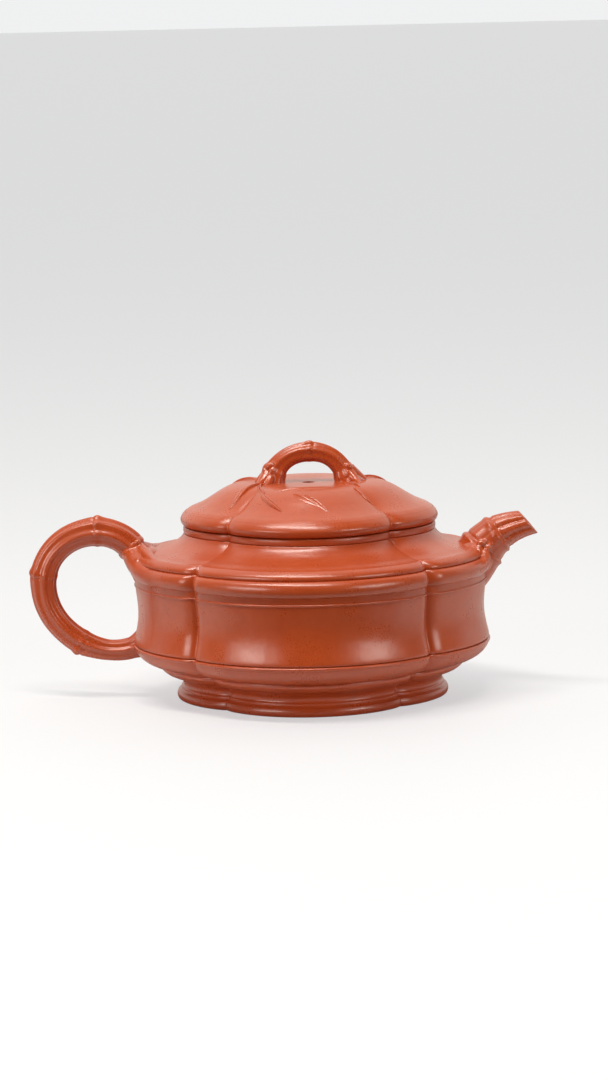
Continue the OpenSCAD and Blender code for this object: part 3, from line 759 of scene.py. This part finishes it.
root = [pipe_parts(spout_line, spout_half, spout_half - SPOUT_WALL, 80, spout_shape, MOUTH_LEAN)]
for flip in (-1, 1):
    low_run = round_wall(0, flip, [(42.5, 57.0, 44.2), (36, 57.4, 44.1), (29, 57.6, 44.0),
                                   (21, 57.7, 43.9)])
    root.append(limb([*low_run, (55.8, flip * 15.0, 44.0), (57.7, flip * 11.6, 45.0),
                      (58.6, flip * 9.8, 46.8), (58.4, flip * 8.6, 48.8)],
                     [1.9, 2.6, 2.75, 2.75, 2.7, 2.4, 1.9, 1.2]))
    high_run = round_wall(0, flip, [(42, 55.3, 47.9), (34, 55.6, 48.0), (27, 55.6, 48.2),
                                    (20, 55.3, 48.3)])
    root.append(limb([*high_run, (52.6, flip * 14.5, 48.4), (53.5, flip * 12.0, 47.9)],
                     [1.2, 1.7, 1.8, 1.75, 1.5, 1.0]))
    root.append(limb([(57.2, flip * 10.2, 45.6), (56.5, flip * 9.4, 48.0), (56.6, flip * 8.0, 50.4)],
                     [1.9, 1.5, 1.0]))
    for place, half, way in (((57.6, flip * 7.7, 51.2), 1.3, (0.8, 0, 0.3)),
                             ((59.6, flip * 7.6, 49.6), 1.3, (0.7, 0, 0.7)),
                             ((62.1, flip * 6.0, 53.4), 1.0, (0.5, 0, 0.85)),
                             ((58.0, flip * 8.4, 47.6), 1.3, (-0.6, 0, 0.7))):
        root.append(bud(place, half, way, 1.5))
root.append(bud((55.2, 0, 46.4), 5.5, (0, 1, 0), 2.1))
root.append(bud((57.4, 0, 44.8), 4.2, (0, 1, 0), 2.5))
root.append(limb([(60.6, 0, 44.2), (59.0, 0, 41.2), (58.2, 0, 38.2)], [3.0, 2.4, 1.5]))
worked_clay("spout", root, 0.26, spout_clay, ("spout", "spout_twig"), "pot", 3)

# ------------------------------------------------------------------ strainer
# A small dome of unburnished clay, pierced with holes and luted over the spout's port inside the
# pot, where it keeps the leaves out of the spout.

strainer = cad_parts["strainer"]
strainer.data.materials.clear()
strainer.data.materials.append(raw_clay)

# ------------------------------------------------------------------ bridge
# The lid's grip, a bent bamboo twig with a pointed joint at its crown and one on each side. Its
# two feet spread on to the lid, where leaf stalks spring from them.

bridge_clay = clay("bridge_clay", (0.45, 0.064, 0.012), ripple=3.0, gloss=0.29)
left_side = bezier([(-12.6, 0, 69.5), (-12.2, 0, 77.6), (-7.6, 0, 82.4), (0.6, 0, 82.5)], 90)
right_side = bezier([(0.6, 0, 82.5), (8.0, 0, 82.4), (12.2, 0, 78.2), (14.0, 0, 69.0)], 90, 1)
bridge_path = np.vstack([left_side, right_side])
crown = float(np.sum(np.linalg.norm(np.diff(left_side, axis=0), axis=1)))
bridge_knots = [(crown - 13.9, 1.0), (crown, 0.8), (crown + 15.0, 0.95)]
bridge_line, s = even(bridge_path, 0.6, [k for k, _ in bridge_knots], 0.22, 2.0)
bridge_half = np.interp(s / s[-1], [0, 0.10, 0.2, 0.5, 0.8, 0.9, 1.0],
                        [5.2, 4.3, 3.4, 3.2, 3.2, 4.1, 5.4])
bridge_joints = joints(s, bridge_knots, 0.8, 0.2)
bridge_lines = sum(np.exp(-(np.abs(s - k) / 1.8) ** 2) for k, _ in bridge_knots)


def bridge_shape(i, turns):
    ribs = 0.18 * np.cos(7 * turns + 0.9) - 0.1 * np.abs(np.sin(3.5 * turns))
    return ribs * (1 + 0.6 * bridge_lines[i]) + bridge_joints[i] * (0.6 - 0.4 * np.cos(turns))


grip = [tube_parts(bridge_line, bridge_half, 56, shape=bridge_shape)]
for flip in (-1, 1):
    grip.append(limb([(-13.0, flip * 1.5, 75.6), (-15.8, flip * 4.6, 72.8), (-17.6, flip * 8.6, 71.2)],
                     [2.2, 1.5, 0.8]))
    grip.append(limb([(-12.4, flip * 2.0, 75.2), (-13.2, flip * 4.8, 72.8), (-14.8, flip * 8.6, 71.6)],
                     [2.0, 1.3, 0.7]))
    grip.append(limb([(13.2, flip * 1.5, 75.6), (16.0, flip * 4.4, 72.9), (17.6, flip * 8.4, 71.4)],
                     [2.1, 1.4, 0.8]))
    grip.append(limb([(-12.0, 0, 73.6), (-10.6, flip * 3.2, 72.2)], [3.0, 1.6]))
    grip.append(limb([(12.8, 0, 73.6), (11.4, flip * 3.2, 72.2)], [3.0, 1.6]))
    grip.append(bud((-12.6, flip * 2.7, 78.3), 1.1, (0.8, 0, 0.6), 1.7))
    grip.append(bud((-14.3, flip * 2.4, 76.0), 1.1, (-0.4, 0, 0.9), 1.5))
    grip.append(bud((13.4, flip * 2.6, 77.6), 1.05, (-0.8, 0, 0.6), 1.5))
grip.append(limb([(-12.6, 0, 74.6), (-17.4, 0, 71.8)], [3.4, 1.4]))
grip.append(limb([(13.4, 0, 74.8), (18.8, 0, 71.9)], [3.6, 1.6]))
worked_clay("bridge", grip, 0.21, bridge_clay, ("bridge",), "lid", 3)

# ------------------------------------------------------------------ leaves
# Bamboo leaves and twigs rolled thin, pressed on to the lid and cut with a fine blade. Each is
# raised along one edge, dies into the lid along the other, and has a fine middle vein.

leaf_clay = clay("leaf_clay", (0.46, 0.067, 0.013), ripple=3.0, gloss=0.29)


def leaf_parts(points, width, rise, keel, stem=0.12):
    """A leaf laid along points on the lid: raised to one side (keel 1 or -1), pointed at its tip."""
    line = smooth_line(points, 22)
    way = np.gradient(line, axis=0)
    way /= np.linalg.norm(way, axis=1)[:, None]
    side = np.stack([-way[:, 1], way[:, 0]], 1)
    u = np.linspace(0, 1, len(line))
    half = width / 2 * np.minimum(1, stem + np.sin(np.pi * u ** 0.8) ** 0.75)
    half[-1] = 0.06
    v = np.linspace(-1, 1, 17)
    spots = line[:, None, :] + side[:, None, :] * (half[:, None] * v[None, :])[:, :, None]
    ground = lid_height(spots[:, :, 0], spots[:, :, 1])
    tall = np.clip(1 - np.abs(v) ** 4, 0, 1) ** 0.45 * (0.6 + 0.4 * keel * v)
    vein = 0.5 * np.exp(-(v / 0.14) ** 2)
    taper = rise * np.sin(np.pi * (u * 0.94 + 0.05)) ** 0.45
    tall = (tall - vein * 0.6)[None, :] * taper[:, None]
    over = ground + tall - 0.12
    under = ground - 0.45
    n, m = len(line), len(v)
    top = np.concatenate([spots, over[:, :, None]], 2).reshape(-1, 3)
    bottom = np.concatenate([spots, under[:, :, None]], 2).reshape(-1, 3)
    faces = []
    for i in range(n - 1):
        for k in range(m - 1):
            a = i * m + k
            faces.append((a, a + 1, a + m + 1, a + m))
            faces.append((n * m + a, n * m + a + m, n * m + a + m + 1, n * m + a + 1))
    rim = (list(range(m)) + [i * m + m - 1 for i in range(1, n)]
           + [(n - 1) * m + k for k in range(m - 2, -1, -1)] + [i * m for i in range(n - 2, 0, -1)])
    for a, b in zip(rim, rim[1:] + rim[:1]):
        faces.append((a, n * m + a, n * m + b, b))
    return list(np.vstack([top, bottom])), faces


def leaf_piece(name, leaves, node):
    finish_piece(name, *joined(leaves), leaf_clay, node, "lid", "leaf_clay", 40)


leaf_piece("leaves_left", [
    leaf_parts([(-16.5, -6.5), (-21.5, -13.0), (-26.5, -20.1)], 3.2, 1.35, 1),
    leaf_parts([(-15.6, -6.5), (-16.4, -14.0), (-15.0, -21.0)], 1.5, 1.2, 1, 0.8),
    leaf_parts([(-15.6, -20.6), (-12.8, -27.0), (-8.6, -33.9)], 2.4, 1.35, -1)], "leaves_left")
leaf_piece("leaves_front", [
    leaf_parts([(-5.2, -26.3), (-1.4, -29.6), (2.6, -32.4)], 1.9, 0.85, 1),
    leaf_parts([(-1.4, -27.6), (2.6, -31.2), (6.2, -34.6)], 1.8, 0.85, 1),
    leaf_parts([(7.6, -19.6), (-1.0, -21.6), (-10.6, -22.2)], 3.0, 0.9, -1)], "leaves_front")
leaf_piece("leaves_right", [
    leaf_parts([(14.5, -6.5), (15.6, -11.0), (17.2, -15.2)], 2.0, 1.2, -1),
    leaf_parts([(15.0, -16.6), (18.0, -19.8), (21.6, -22.4)], 1.9, 0.9, -1)], "leaves_right")
leaf_piece("leaves_back", [
    leaf_parts([(-15.5, 7.0), (-21.5, 10.0), (-28.0, 14.5)], 3.0, 1.3, 1),
    leaf_parts([(16.5, 7.0), (22.5, 9.8), (29.0, 14.5)], 3.0, 1.3, -1)], "leaves_back")
